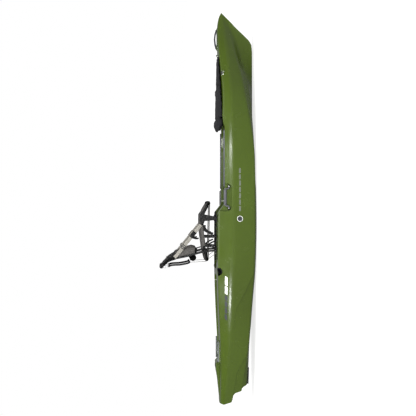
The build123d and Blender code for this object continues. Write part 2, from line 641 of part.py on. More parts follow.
finish(cover_tabs, "cover_tabs")
with BuildPart() as cover_hook:
    add(side_prism([(1430, 349), (1454, 349), (1454, 361), (1436, 361), (1436, 357), (1448, 357), (1448, 353), (1430, 353)],
                   18))
finish(cover_hook, "cover_hook")
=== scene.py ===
import math
import bmesh
import bpy
import numpy as np
from mathutils import Matrix, Vector, noise
from mathutils.bvhtree import BVHTree


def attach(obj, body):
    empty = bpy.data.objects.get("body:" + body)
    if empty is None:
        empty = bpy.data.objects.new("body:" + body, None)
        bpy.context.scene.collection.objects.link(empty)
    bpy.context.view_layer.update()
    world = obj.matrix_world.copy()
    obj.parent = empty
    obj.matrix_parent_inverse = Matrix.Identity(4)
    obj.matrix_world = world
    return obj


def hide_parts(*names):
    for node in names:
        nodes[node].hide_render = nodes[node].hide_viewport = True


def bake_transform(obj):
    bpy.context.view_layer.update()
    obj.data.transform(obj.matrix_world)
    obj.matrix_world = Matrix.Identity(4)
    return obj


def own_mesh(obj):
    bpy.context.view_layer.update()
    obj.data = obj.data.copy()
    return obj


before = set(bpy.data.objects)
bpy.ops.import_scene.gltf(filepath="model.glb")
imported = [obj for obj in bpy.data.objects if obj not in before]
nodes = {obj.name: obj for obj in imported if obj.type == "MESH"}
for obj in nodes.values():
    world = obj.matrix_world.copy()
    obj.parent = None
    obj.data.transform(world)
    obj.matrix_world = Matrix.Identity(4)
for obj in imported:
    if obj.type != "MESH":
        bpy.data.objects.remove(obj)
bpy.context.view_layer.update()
bpy.context.scene.view_settings.view_transform = "Standard"
print("frame loaded")


# sRGB hex to linear RGBA.
def linear(code):
    channels = [int(code[k:k + 2], 16) / 255 for k in (1, 3, 5)]
    return [c / 12.92 if c <= 0.04045 else ((c + 0.055) / 1.055) ** 2.4 for c in channels] + [1.0]


# One brightness on all three channels.
def grey(level):
    return [level] * 3 + [1]


# Adds a shader node; keyword names are input sockets (underscores for spaces) or node properties.
def addNode(tree, kind, place=(0, 0), **sockets):
    node = tree.nodes.new(kind)
    node.location = place
    for key, value in sockets.items():
        label = key.replace("_", " ")
        if key in node.bl_rna.properties:
            setattr(node, key, value)
        elif isinstance(value, bpy.types.NodeSocket):
            tree.links.new(value, node.inputs[label])
        else:
            node.inputs[label].default_value = value
    return node


def startMaterial(name):
    material = bpy.data.materials.new(name)
    material.use_nodes = True
    tree = material.node_tree
    tree.nodes.clear()
    output = tree.nodes.new("ShaderNodeOutputMaterial")
    surface = tree.nodes.new("ShaderNodeBsdfPrincipled")
    tree.links.new(surface.outputs["BSDF"], output.inputs["Surface"])
    return material, tree, surface


# Object coordinates in metres, scaled on each axis.
def objectScale(tree, scale):
    coordinates = addNode(tree, "ShaderNodeTexCoord")
    mapping = addNode(tree, "ShaderNodeMapping", Vector=coordinates.outputs["Object"], Scale=scale)
    return mapping.outputs["Vector"]


def uvScale(tree, scale):
    coordinates = addNode(tree, "ShaderNodeTexCoord")
    return addNode(tree, "ShaderNodeMapping", Vector=coordinates.outputs["UV"], Scale=scale).outputs["Vector"]


def noiseOf(tree, vector, size, detail=3.0):
    return addNode(tree, "ShaderNodeTexNoise", Vector=vector, Scale=size, Detail=detail).outputs["Fac"]


def rampOf(tree, factor, stops):
    ramp = addNode(tree, "ShaderNodeValToRGB", Fac=factor)
    while len(ramp.color_ramp.elements) < len(stops):
        ramp.color_ramp.elements.new(0.5)
    for element, (place, colour) in zip(ramp.color_ramp.elements, stops):
        element.position = place
        element.color = colour
    return ramp.outputs["Color"]


def mathOf(tree, operation, first, second=0.0):
    node = tree.nodes.new("ShaderNodeMath")
    node.operation = operation
    for socket, value in zip(node.inputs, (first, second)):
        if isinstance(value, bpy.types.NodeSocket):
            tree.links.new(value, socket)
        else:
            socket.default_value = value
    return node.outputs["Value"]


def mixColour(tree, factor, first, second, blend="MIX"):
    node = tree.nodes.new("ShaderNodeMix")
    node.data_type = "RGBA"
    node.blend_type = blend
    for index, value in ((0, factor), (6, first), (7, second)):
        if isinstance(value, bpy.types.NodeSocket):
            tree.links.new(value, node.inputs[index])
        else:
            node.inputs[index].default_value = value
    return node.outputs[2]


def bumpInto(tree, surface, height, distance, strength=1.0, under=None):
    bump = addNode(tree, "ShaderNodeBump", Height=height, Distance=distance, Strength=strength)
    if under is not None:
        tree.links.new(under, bump.inputs["Normal"])
    tree.links.new(bump.outputs["Normal"], surface.inputs["Normal"])
    return bump.outputs["Normal"]


# Moulded plastic: slight mottling, a pebbled skin and uneven sheen.
def plasticMaterial(name, colour, roughness, grain=0.0006, grainSize=900.0, tint=0.1, specular=0.22):
    material, tree, surface = startMaterial(name)
    where = objectScale(tree, (1, 1, 1))
    mottled = noiseOf(tree, where, 14.0, 4.0)
    base = linear(colour)
    dark = [c * (1 - tint) for c in base[:3]] + [1]
    light = [min(c * (1 + tint), 1) for c in base[:3]] + [1]
    tree.links.new(rampOf(tree, mottled, [(0.3, dark), (0.7, light)]), surface.inputs["Base Color"])
    stops = [(0.3, grey(roughness - 0.06)), (0.7, grey(roughness + 0.08))]
    sheen = rampOf(tree, noiseOf(tree, where, 40.0), stops)
    tree.links.new(sheen, surface.inputs["Roughness"])
    surface.inputs["Specular IOR Level"].default_value = specular
    bumpInto(tree, surface, noiseOf(tree, where, grainSize, 2.0), grain, 0.6)
    return material


# Olive rotomoulded polyethylene: faint orange peel, slow colour drift and scuffs on the bottom.
def hullMaterial():
    look = {"green": "#415216", "deep": "#3c4b14", "pale": "#69764c", "roughness": 0.22}
    material, tree, surface = startMaterial("hullPolyethylene")
    where = objectScale(tree, (1, 1, 1))
    along = objectScale(tree, (0.6, 5, 5))
    drift = noiseOf(tree, where, 1.6, 3.0)
    base = rampOf(tree, drift, [(0.35, linear(look["deep"])), (0.65, linear(look["green"]))])
    speckle = rampOf(tree, noiseOf(tree, where, 700.0, 2.0), [(0.42, grey(0.93)), (0.6, grey(1.04))])
    base = mixColour(tree, 1.0, base, speckle, "MULTIPLY")
    height = tree.nodes.new("ShaderNodeSeparateXYZ")
    tree.links.new(where, height.inputs["Vector"])
    low = addNode(tree, "ShaderNodeMapRange", Value=height.outputs["Z"])
    low.inputs["From Min"].default_value = 0.05
    low.inputs["From Max"].default_value = 0.0
    scratch = rampOf(tree, noiseOf(tree, along, 26.0, 6.0), [(0.56, [0, 0, 0, 1]), (0.66, [1, 1, 1, 1])])
    scuffed = mathOf(tree, "MULTIPLY", mathOf(tree, "MULTIPLY", low.outputs["Result"], scratch), 0.2)
    base = mixColour(tree, scuffed, base, linear(look["pale"]))
    tree.links.new(base, surface.inputs["Base Color"])
    stops = [(0.3, grey(look["roughness"] - 0.05)), (0.75, grey(look["roughness"] + 0.09))]
    gloss = rampOf(tree, noiseOf(tree, where, 9.0, 5.0), stops)
    tree.links.new(gloss, surface.inputs["Roughness"])
    surface.inputs["Specular IOR Level"].default_value = 0.3
    peel = bumpInto(tree, surface, noiseOf(tree, where, 260.0, 2.0), 0.0004, 0.35)
    bumpInto(tree, surface, noiseOf(tree, where, 5.0, 2.0), 0.004, 0.16, peel)
    return material


# Drawn or brushed metal: fine streaks along X.
def metalMaterial(name, colour, roughness, brushed=0.25, metallic=1.0, stretch=(3, 260, 260)):
    material, tree, surface = startMaterial(name)
    streaks = noiseOf(tree, objectScale(tree, stretch), 6.0, 4.0)
    base = linear(colour)
    groove = [c * 0.86 for c in base[:3]] + [1]
    tree.links.new(rampOf(tree, streaks, [(0.3, groove), (0.7, base)]), surface.inputs["Base Color"])
    tree.links.new(rampOf(tree, streaks, [(0.3, grey(roughness)), (0.7, grey(roughness + brushed))]),
                   surface.inputs["Roughness"])
    surface.inputs["Metallic"].default_value = metallic
    bumpInto(tree, surface, streaks, 0.0002, 0.3)
    return material


# Woven cloth: over-and-under threads from two crossed waves, with painted shade darkening the hollows between
# them and the crowns left paler.
def wovenMaterial(name, colour, second, pitch=0.0016, roughness=0.8, depth=0.0004):
    material, tree, surface = startMaterial(name)
    where = objectScale(tree, (1, 1, 1))
    parts = tree.nodes.new("ShaderNodeSeparateXYZ")
    tree.links.new(where, parts.inputs["Vector"])
    turn = 2 * math.pi / pitch
    a = mathOf(tree, "ADD", parts.outputs["X"], mathOf(tree, "MULTIPLY", parts.outputs["Z"], 0.8))
    b = mathOf(tree, "ADD", parts.outputs["Y"], mathOf(tree, "MULTIPLY", parts.outputs["Z"], 0.6))
    waveA = mathOf(tree, "SINE", mathOf(tree, "MULTIPLY", a, turn))
    waveB = mathOf(tree, "SINE", mathOf(tree, "MULTIPLY", b, turn))
    weave = mathOf(tree, "MULTIPLY", waveA, waveB)
    weave = mathOf(tree, "ADD", mathOf(tree, "MULTIPLY", weave, 0.5), 0.5)
    # Painted shade: the second, darker colour fills the weave's hollows where the bump dips, and the crowns
    # keep the paler colour.
    threadsAndHollowShade = rampOf(tree, weave, [(0.2, linear(second)), (0.75, linear(colour))])
    patches = rampOf(tree, noiseOf(tree, where, 30.0, 4.0), [(0.3, grey(0.86)), (0.7, grey(1.08))])
    tree.links.new(mixColour(tree, 1.0, threadsAndHollowShade, patches, "MULTIPLY"), surface.inputs["Base Color"])
    surface.inputs["Roughness"].default_value = roughness
    surface.inputs["Specular IOR Level"].default_value = 0.06
    surface.inputs["Sheen Weight"].default_value = 0.02
    surface.inputs["Sheen Roughness"].default_value = 0.5
    creases = bumpInto(tree, surface, noiseOf(tree, where, 45.0, 3.0), 0.002, 0.35)
    bumpInto(tree, surface, weave, depth, 0.8, creases)
    return material


# Ribbed nylon webbing: ribs run across, in UV metres (x across, y along), with painted shade in the hollows
# between the ribs.
def webbingMaterial(name, colour, second):
    pitch = {"rib": 0.0018, "column": 0.0032}
    material, tree, surface = startMaterial(name)
    parts = tree.nodes.new("ShaderNodeSeparateXYZ")
    tree.links.new(uvScale(tree, (1, 1, 1)), parts.inputs["Vector"])
    ribs = mathOf(tree, "SINE", mathOf(tree, "MULTIPLY", parts.outputs["Y"], 2 * math.pi / pitch["rib"]))
    columnTurn = 2 * math.pi / pitch["column"]
    columns = mathOf(tree, "SINE", mathOf(tree, "MULTIPLY", parts.outputs["X"], columnTurn))
    weave = mathOf(tree, "ADD", mathOf(tree, "MULTIPLY", mathOf(tree, "MULTIPLY", ribs, columns), 0.5), 0.5)
    # Painted shade: the second, darker colour fills the hollows of the ribs where the bump dips.
    threadsAndHollowShade = rampOf(tree, weave, [(0.15, linear(second)), (0.8, linear(colour))])
    wear = noiseOf(tree, objectScale(tree, (1, 1, 1)), 60.0, 3.0)
    worn = rampOf(tree, wear, [(0.3, grey(0.9)), (0.7, grey(1.05))])
    tree.links.new(mixColour(tree, 1.0, threadsAndHollowShade, worn, "MULTIPLY"), surface.inputs["Base Color"])
    surface.inputs["Roughness"].default_value = 0.7
    surface.inputs["Specular IOR Level"].default_value = 0.15
    bumpInto(tree, surface, weave, 0.0004, 0.8)
    return material


materials = {
    "hull": hullMaterial(),
    "blackPlastic": plasticMaterial("blackMouldedPlastic", "#0a0a0b", 0.36),
    "greyPlastic": plasticMaterial("greyMouldedPlastic", "#2f3032", 0.45),
    "blackTube": plasticMaterial("blackPowderCoat", "#060607", 0.28, 0.0003, 1500.0),
    "trackAluminium": metalMaterial("anodisedTrack", "#55575b", 0.38, metallic=0.7),
    "stainless": metalMaterial("stainlessScrew", "#c9cacc", 0.2, 0.15, stretch=(40, 40, 40)),
    "gripRubber": plasticMaterial("gripRubber", "#55555a", 0.6, 0.0012, 500.0, 0.12),
    "bowRubber": plasticMaterial("bowHandleRubber", "#2f3236", 0.5, 0.001, 600.0, 0.12),
    # The second colour given to each woven and webbing finish is painted shade for the hollows of its weave.
    "seatFabric": wovenMaterial("seatFabric", "#5b5957", "#3b3937", 0.0022),
    "darkFabric": wovenMaterial("darkSeatFabric", "#0f0f0f", "#050505", 0.0022),
    "meshFabric": wovenMaterial("spacerMesh", "#303031", "#060606", 0.0045, 0.75, depth=0.0012),
    "coverFabric": wovenMaterial("coverFabric", "#28282b", "#151517", 0.0018, 0.66),
    "greyWebbing": webbingMaterial("greyWebbing", "#98958d", "#7b7871"),
    "blackWebbing": webbingMaterial("blackWebbing", "#1b1b1c", "#0b0b0b"),
    "cord": wovenMaterial("braidedCord", "#6f6c66", "#3a3936", 0.0014, 0.8),
    "foam": plasticMaterial("deckFoam", "#3b3e3c", 0.85, 0.002, 300.0, 0.12, 0.2),
    "decalDark": plasticMaterial("darkDecal", "#34373a", 0.45, 0.0002, 900.0, 0.05),
    "decalPale": plasticMaterial("paleDecal", "#e8e9e6", 0.4, 0.0002, 900.0, 0.03),
    "decalGrey": plasticMaterial("greyDecal", "#7d7f80", 0.42, 0.0002, 900.0, 0.05),
}
finishes = {
    "hull": ["hull"],
    "blackPlastic": ["skid_plate", "seat_rails", "track_caps", "handle_anchors", "rod_holders", "lid_hinges",
                     "cover_buckle", "cover_tabs", "cover_hook", "seat_feet", "front_legs", "seat_brackets", "pedal_port",
                     "pedal_starboard", "bin_lid", "lid_knob", "drain_plug"],
    "blackTube": ["rear_legs", "seat_frame", "pivot_lugs", "back_frame", "back_struts"],
    "trackAluminium": ["gear_tracks", "brace_rails"],
    "stainless": ["rail_screws", "track_screws", "anchor_screws", "strap_rings"],
    "gripRubber": ["handle_port", "handle_starboard"],
    "bowRubber": ["bow_handle"],
    "cord": ["pan_cords", "tie_cords", "recline_cords"],
    "foam": ["floor_pads"],
}
for key, names in finishes.items():
    for name in names:
        if not nodes[name].data.materials:
            nodes[name].data.materials.append(materials[key])
        for slotOfNode in nodes[name].material_slots:
            slotOfNode.material = materials[key]
print("materials ready")


# A mesh piece; uvs is one (u, v) in metres for each vertex.
def meshObject(name, verts, faces, material, uvs=None, smooth=True, body="hull"):
    mesh = bpy.data.meshes.new(name)
    mesh.from_pydata([tuple(v) for v in verts], [], faces)
    mesh.materials.append(materials[material])
    if uvs is not None:
        layer = mesh.uv_layers.new(name="UVMap")
        for loop in mesh.loops:
            layer.data[loop.index].uv = uvs[loop.vertex_index]
    mesh.polygons.foreach_set("use_smooth", [smooth] * len(mesh.polygons))
    mesh.update()
    piece = bpy.data.objects.new(name, mesh)
    bpy.context.scene.collection.objects.link(piece)
    if body:
        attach(piece, body)
    return piece


# The point at share t of a Catmull-Rom span from b to c, between neighbours a and d.
def spanPoint(a, b, c, d, t):
    square = (2 * a - 5 * b + 4 * c - d) * t * t
    return 0.5 * ((2 * b) + (c - a) * t + square + (3 * b - a - 3 * c + d) * t ** 3)


# Catmull-Rom through the points, evenly stepped.
def smoothPath(points, step=0.004):
    points = [Vector(p) for p in points]
    ends = [points[0] * 2 - points[1]] + points + [points[-1] * 2 - points[-2]]
    fine = []
    for k in range(1, len(ends) - 2):
        a, b, c, d = ends[k - 1:k + 3]
        count = max(2, int((c - b).length / step))
        for n in range(count):
            t = n / count
            fine.append(spanPoint(a, b, c, d, t))
    fine.append(points[-1])
    return fine


# A webbing strap along the points: rounded edges, UV in metres along and across.
def ribbon(name, points, wide, thick, material, normal, body, ripple=0.0):
    path = smoothPath(points)
    section = [(-0.5, 0.25), (-0.47, 0.5), (-0.2, 0.5), (0.2, 0.5), (0.47, 0.5), (0.5, 0.25)]
    section += [(-a, -b) for a, b in section]
    verts, faces, uvs = [], [], []
    travelled = 0.0
    for k, point in enumerate(path):
        tangent = (path[min(k + 1, len(path) - 1)] - path[max(k - 1, 0)]).normalized()
        flat = Vector(normal)
        across = tangent.cross(flat).normalized()
        up = across.cross(tangent).normalized()
        if k:
            travelled += (point - path[k - 1]).length
        sway = ripple * math.sin(travelled * 70) * up
        for a, b in section:
            verts.append(point + sway + across * a * wide + up * b * thick)
            uvs.append((a * wide, travelled))
    ring = len(section)
    for k in range(len(path) - 1):
        for n in range(ring):
            m = (n + 1) % ring
            faces.append((k * ring + n, k * ring + m, (k + 1) * ring + m, (k + 1) * ring + n))
    last = (len(path) - 1) * ring
    faces += [tuple(range(ring))[::-1], tuple(range(last, last + ring))]
    piece = meshObject(name, verts, faces, material, uvs, body=body)
    recalcNormals(piece)
    return piece


def recalcNormals(piece):
    form = bmesh.new()
    form.from_mesh(piece.data)
    bmesh.ops.recalc_face_normals(form, faces=form.faces)
    form.to_mesh(piece.data)
    form.free()


# A round cord, piping or sleeve along the points. radius may be a function of the share travelled.
def tubeAlong(name, points, radius, material, body, ring=14, lumps=0.0, seed=0):
    path = smoothPath(points)
    total = sum((b - a).length for a, b in zip(path, path[1:]))
    side = Vector((0, 0, 1))
    first = (path[1] - path[0]).normalized()
    if abs(first.dot(side)) > 0.9:
        side = Vector((0, 1, 0))
    verts, faces, uvs = [], [], []
    travelled = 0.0
    for k, point in enumerate(path):
        tangent = (path[min(k + 1, len(path) - 1)] - path[max(k - 1, 0)]).normalized()
        side = (side - tangent * side.dot(tangent)).normalized()
        other = tangent.cross(side)
        if k:
            travelled += (point - path[k - 1]).length
        size = radius(travelled / total) if callable(radius) else radius
        for n in range(ring):
            angle = 2 * math.pi * n / ring
            out = side * math.cos(angle) + other * math.sin(angle)
            where = Vector((travelled * 40 + seed, out.x * 1.5, out.z * 1.5 + out.y))
            bump = lumps * noise.noise(where) if lumps else 0
            verts.append(point + out * (size + bump))
            uvs.append((n / ring * 2 * math.pi * size, travelled))
    for k in range(len(path) - 1):
        for n in range(ring):
            m = (n + 1) % ring
            faces.append((k * ring + n, k * ring + m, (k + 1) * ring + m, (k + 1) * ring + n))
    last = (len(path) - 1) * ring
    faces += [tuple(range(ring))[::-1], tuple(range(last, last + ring))]
    piece = meshObject(name, verts, faces, material, uvs, body=body)
    recalcNormals(piece)
    return piece


# A closed quilted form: surface(u, v) is its middle and thickness(u, v) its depth, u and v from 0 to 1.
def paddedSheet(name, surface, thickness, countU, countV, material, body):
    middle = [[Vector(surface(i / countU, j / countV)) for i in range(countU + 1)] for j in range(countV + 1)]
    front, back, uvs = [], [], []
    along = [0.0]
    for j in range(1, countV + 1):
        along.append(along[-1] + (middle[j][countU // 2] - middle[j - 1][countU // 2]).length)
    for j in range(countV + 1):
        across = 0.0
        for i in range(countU + 1):
            du = middle[j][min(i + 1, countU)] - middle[j][max(i - 1, 0)]
            dv = middle[min(j + 1, countV)][i] - middle[max(j - 1, 0)][i]
            normal = du.cross(dv).normalized()
            half = thickness(i / countU, j / countV) / 2
            front.append(middle[j][i] + normal * half)
            back.append(middle[j][i] - normal * half)
            if i:
                across += (middle[j][i] - middle[j][i - 1]).length
            uvs.append((across, along[j]))
    width = countU + 1
    shift = len(front)
    faces = []
    for j in range(countV):
        for i in range(countU):
            a = j * width + i
            faces.append((a, a + 1, a + 1 + width, a + width))
            faces.append((a + shift, a + width + shift, a + 1 + width + shift, a + 1 + shift))
    rim = list(range(width)) + [j * width + countU for j in range(1, countV + 1)]
    rim += [countV * width + i for i in range(countU - 1, -1, -1)]
    rim += [j * width for j in range(countV - 1, 0, -1)]
    for k, a in enumerate(rim):
        b = rim[(k + 1) % len(rim)]
        faces.append((b, a, a + shift, b + shift))
    piece = meshObject(name, front + back, faces, material, uvs + uvs, body=body)
    recalcNormals(piece)
    return piece


# Linear look-up in [(x, y), ...] sorted by x.
def along(table, place):
    xs, ys = zip(*table)
    return float(np.interp(place, xs, ys))


# A point at that share of a Catmull-Rom curve through the points.
def smoothAlong(points, share):
    share = min(max(share, 0.0), 1.0) * (len(points) - 1)
    k = min(int(share), len(points) - 2)
    t = share - k
    ends = [points[0] * 2 - points[1]] + points + [points[-1] * 2 - points[-2]]
    a, b, c, d = ends[k:k + 4]
    return spanPoint(a, b, c, d, t)


# A row of thread stitches lying on a surface along the points.
def stitches(name, points, lift, material, body, length=0.0045, gap=0.003, radius=0.0006):
    path = smoothPath(points, 0.0015)
    verts, faces = [], []
    travelled, start = 0.0, None
    for k in range(1, len(path)):
        travelled += (path[k] - path[k - 1]).length
        phase = travelled % (length + gap)
        if phase < length and start is None:
            start = path[k]
        elif phase >= length and start is not None:
            end = path[k]
            run = end - start
            across = run.cross(Vector(lift)).normalized() * radius
            up = Vector(lift).normalized() * radius
            base = len(verts)
            for share, size in ((0, 0.35), (0.2, 1.0), (0.8, 1.0), (1, 0.35)):
                centre = start + run * share
                for a, b in ((-1, 0), (-0.5, 0.9), (0.5, 0.9), (1, 0), (0.5, -0.6), (-0.5, -0.6)):
                    verts.append(centre + across * a * size + up * (b * size))
            for row in range(3):
                for n in range(6):
                    m = (n + 1) % 6
                    p = base + row * 6
                    faces.append((p + n, p + m, p + 6 + m, p + 6 + n))
            faces += [tuple(base + n for n in range(5, -1, -1)), tuple(base + 18 + n for n in range(6))]
            start = None
    piece = meshObject(name, verts, faces, material, [(v.x, v.z) for v in verts], body=body)
    recalcNormals(piece)
    return piece


# A sleeve's radius at a share of its length: thin at the ends, full between them.
def sleeveRadius(thin, swell, rise):
    return lambda s: thin + swell * min(1, rise * s, rise * (1 - s)) ** 0.5


tubeProfile = [(-0.483, 0.456), (-0.365, 0.482), (-0.25, 0.498), (-0.193, 0.5035), (-0.135, 0.505),
               (-0.08, 0.501), (-0.02, 0.478), (0.043, 0.442)]
pan = {"side": 0.256, "over": 0.0150, "sag": 0.034, "thick": 0.006, "rearX": -0.483, "frontX": 0.043}


def panSurface(u, v):
    x = pan["rearX"] + (pan["frontX"] - pan["rearX"]) * v
    y = (u * 2 - 1) * pan["side"]
    edge = min((x - pan["rearX"]) / 0.09, (pan["frontX"] - x) / 0.12, 1.0)
    corner = max(0.0, 1 - edge) ** 2 * 0.045
    y *= 1 - corner / pan["side"]
    sag = pan["sag"] * (1 - abs(u * 2 - 1) ** 2.4) * math.sin(math.pi * min(max(v, 0.02), 0.98)) ** 0.6
    ripple = 0.0012 * noise.noise(Vector((x * 16, y * 10, 0))) * (1 - abs(u * 2 - 1) ** 4)
    return (x, y, along(tubeProfile, x) + pan["over"] - sag + ripple)


def panThickness(u, v):
    seam = min(abs(u - s) for s in (0.2, 0.5, 0.8)) / 0.02
    rows = min(abs(v - s) for s in (0.1, 0.36, 0.62, 0.86)) / 0.014
    pinch = 1 - 0.75 * math.exp(-seam * seam)
    pinch *= 1 - 0.7 * math.exp(-rows * rows)
    return 0.003 + pan["thick"] * pinch


panCloth = paddedSheet("seatPanCloth", panSurface, panThickness, 120, 110, "seatFabric", "seat")
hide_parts("seat_pan")
sleeveX = (-0.352, -0.165)
for side, word in ((1, "Port"), (-1, "Starboard")):
    places = [(x, side * pan["side"], along(tubeProfile, x)) for x in np.linspace(sleeveX[0], sleeveX[1], 8)]
    sleeve = tubeAlong("seatSleeve" + word, places, 0.0162, "seatFabric", "seat", 28, 0.0012, side * 3)
    seamPath = [(x, side * (pan["side"] + 0.0166), along(tubeProfile, x) - 0.004)
                for x in np.linspace(-0.346, -0.172, 8)]
    stitches("sleeveStitch" + word, seamPath, (0, side, 0), "greyWebbing", "seat")
frontRoll = [(0.043, y, 0.442) for y in np.linspace(-0.212, 0.212, 16)]
frontSize = sleeveRadius(0.0145, 0.0065, 14)
frontBolster = tubeAlong("frontRoll", frontRoll, frontSize, "darkFabric", "seat", 32, 0.0016, 9)
rearRoll = [(-0.483, y, 0.456) for y in np.linspace(-0.205, 0.205, 16)]
rearSize = sleeveRadius(0.0142, 0.0035, 14)
rearBolster = tubeAlong("rearRoll", rearRoll, rearSize, "darkFabric", "seat", 32, 0.0014, 4)

tubeBack = [(0.472, -0.400), (0.548, -0.4215), (0.600, -0.4355), (0.640, -0.4455), (0.700, -0.4565),
            (0.745, -0.4665), (0.790, -0.4795), (0.822, -0.4935), (0.860, -0.5285), (0.880, -0.550)]
wingFront = [(0.548, -0.379), (0.575, -0.369), (0.595, -0.366), (0.640, -0.379), (0.690, -0.399),
             (0.744, -0.416), (0.775, -0.428)]


def panelSurface(u, v):
    w = u * 2 - 1
    wing = min(1.0, abs(w) / 0.7)
    z = 0.550 + 0.014 * wing ** 4 + v * (0.766 - 0.550 - 0.030 * wing ** 4)
    rear = along(tubeBack, z)
    front = along(wingFront, z)
    reach = front - rear
    curve = [Vector((rear + 0.010, 0, z)), Vector((rear + 0.013, 0.08, z)), Vector((rear + 0.026, 0.155, z)),
             Vector((rear + reach * 0.62, 0.217, z)), Vector((front, 0.262, z)),
             Vector((rear + reach * 0.55, 0.2845, z)), Vector((rear + 0.004, 0.2835, z))]
    point = smoothAlong(curve, abs(w))
    return (point.x, math.copysign(point.y, w) if w else 0.0, z)


def panelThickness(u, v):
    w = abs(u * 2 - 1)
    full = 0.020 if w < 0.5 else 0.020 - (w - 0.5) / 0.5 * 0.014
    rim = min(1.0, min(v, 1 - v) / 0.06) ** 0.5
    rows = min(abs(v - s) for s in (0.22, 0.44, 0.66, 0.88)) / 0.018
    seams = min(abs(w - s) for s in (0.34, 0.64)) / 0.014
    channels = 1 - 0.45 * math.exp(-rows * rows) * (w < 0.62)
    return 0.0016 + full * rim * channels * (1 - 0.6 * math.exp(-seams * seams))


backCloth = paddedSheet("backPanelCloth", panelSurface, panelThickness, 170, 76, "seatFabric", "backrest")
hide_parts("back_panel")
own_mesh(backCloth)
for v, word, size in ((0.0, "Low", 0.0085), (1.0, "High", 0.0036)):
    rim = [panelSurface(u, v) for u in np.linspace(0.012, 0.988, 60)]
    piping = tubeAlong("panelPiping" + word, rim, size, "darkFabric", "backrest", 14)
    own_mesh(piping)


def headTop(y):
    over = max(0.0, abs(y) - 0.24)
    return 0.880 - (0.042 - math.sqrt(max(0.042 ** 2 - over ** 2, 0.0)))


def headSurface(u, v):
    w = u * 2 - 1
    y = w * 0.2825
    top = headTop(y) + 0.0125
    z = 0.738 + (top - 0.738) * v
    rear = along(tubeBack, min(z, 0.88))
    bulge = along([(0.738, 0.048), (0.775, 0.043), (0.82, 0.030), (0.86, 0.016), (0.893, 0.0)], z)
    lift = bulge * (1 - abs(w) ** 3.5) + 0.0125 * abs(w) ** 3.5 * (1 - v)
    if z > 0.874:
        rear = -0.550
    return (rear + lift + 0.002, y, z)


headCloth = paddedSheet("headMeshCloth", headSurface, lambda u, v: 0.0045, 120, 60, "meshFabric", "backrest")
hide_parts("head_mesh")
crown = [(-0.550, y, 0.880) for y in np.linspace(-0.232, 0.232, 18)]
crownSize = sleeveRadius(0.0125, 0.0055, 12)
crownSleeve = tubeAlong("crownSleeve", crown, crownSize, "darkFabric", "backrest", 28, 0.0013, 2)
for side, word in ((1, "Port"), (-1, "Starboard")):
    edge = [(along(tubeBack, z), side * 0.282, z) for z in np.linspace(0.752, 0.862, 10)]
    upright = tubeAlong("uprightSleeve" + word, edge, 0.0132, "darkFabric", "backrest", 24, 0.0008, side)
    binding = [headSurface(0.5 + side * 0.462, v) for v in np.linspace(0.02, 0.93, 26)]
    tubeAlong("headBinding" + word, binding, 0.0042, "darkFabric", "backrest", 10)
    for place in (0.75, 0.785, 0.82):
        rear = along(tubeBack, place)
        lace = [(rear + 0.012, side * 0.266, place), (rear + 0.020, side * 0.258, place + 0.012),
                (rear + 0.026, side * 0.245, place + 0.018)]
        tubeAlong(f"crownLace{word}{int(place * 1000)}", lace, 0.0016, "cord", "backrest", 8)


def lumbarSurface(u, v):
    w = u * 2 - 1
    y = w * 0.188
    z = 0.553 + v * 0.062
    return (-0.4685 + 0.004 * math.cos(v * math.pi) - 0.004 * abs(w) ** 4, y, z)


def lumbarThickness(u, v):
    w = abs(u * 2 - 1)
    rim = (min(1.0, min(v, 1 - v) / 0.4) * min(1.0, (1 - w) / 0.12)) ** 0.5
    rib = min(abs(w - s) for s in (0.25, 0.55, 0.8)) / 0.03
    return 0.004 + 0.052 * rim * (1 - 0.22 * math.exp(-rib * rib))


lumbar = paddedSheet("lumbarCushion", lumbarSurface, lumbarThickness, 120, 30, "darkFabric", "backrest")
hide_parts("lumbar_pad")
print("seat cloth made")


# Camera, floor and light
camera = {"target": (-0.002, 0.0, 0.437), "distance": 11.0, "lens": 100.0, "elevation": 2.2}
tilt = math.radians(camera["elevation"])
cameraData = bpy.data.cameras.new("camera")
cameraData.lens = camera["lens"]
cameraData.sensor_width = 36.0
cameraData.clip_end = 200.0
eye = bpy.data.objects.new("camera", cameraData)
bpy.context.scene.collection.objects.link(eye)
right = Vector((0, -math.sin(tilt), -math.cos(tilt)))
up = Vector((1, 0, 0))
back = Vector((0, -math.cos(tilt), math.sin(tilt)))
turned = Matrix((right, up, back)).transposed().to_4x4()
turned.translation = Vector(camera["target"]) + back * camera["distance"]
eye.matrix_world = turned
bpy.context.scene.camera = eye

floorLook = {"size": 60.0, "colour": "#bcbcbc", "glow": 0.72, "bounce": 0.12}
bpy.ops.object.select_all(action="DESELECT")
bpy.ops.mesh.primitive_plane_add(size=floorLook["size"], location=(0, 0, 0))
floor = bpy.context.active_object
floor.name = "floor"
floorMaterial, floorTree, floorSurface = startMaterial("paleFloor")
floorSurface.inputs["Base Color"].default_value = linear(floorLook["colour"])
floorSurface.inputs["Roughness"].default_value = 0.9
floorSurface.inputs["Emission Color"].default_value = linear("#ffffff")
floorRays = floorTree.nodes.new("ShaderNodeLightPath")
floorGlow = addNode(floorTree, "ShaderNodeMapRange", Value=floorRays.outputs["Is Camera Ray"])
floorGlow.inputs["To Min"].default_value = floorLook["bounce"]  # what the floor throws back on the hull
floorGlow.inputs["To Max"].default_value = floorLook["glow"]  # lifts the shadow to a pale grey
floorTree.links.new(floorGlow.outputs["Result"], floorSurface.inputs["Emission Strength"])
floorSurface.inputs["Specular IOR Level"].default_value = 0.1
floor.data.materials.append(floorMaterial)


# A soft rectangular light aimed at a point.
def softLight(name, place, aim, sizeX, sizeY, watts, spread=180):
    data = bpy.data.lights.new(name, "AREA")
    data.shape = "RECTANGLE"
    data.size, data.size_y = sizeX, sizeY
    data.energy = watts
    data.spread = math.radians(spread)
    lamp = bpy.data.objects.new(name, data)
    bpy.context.scene.collection.objects.link(lamp)
    lamp.location = place
    lamp.rotation_euler = (Vector(place) - Vector(aim)).to_track_quat("Z", "X").to_euler()
    return lamp


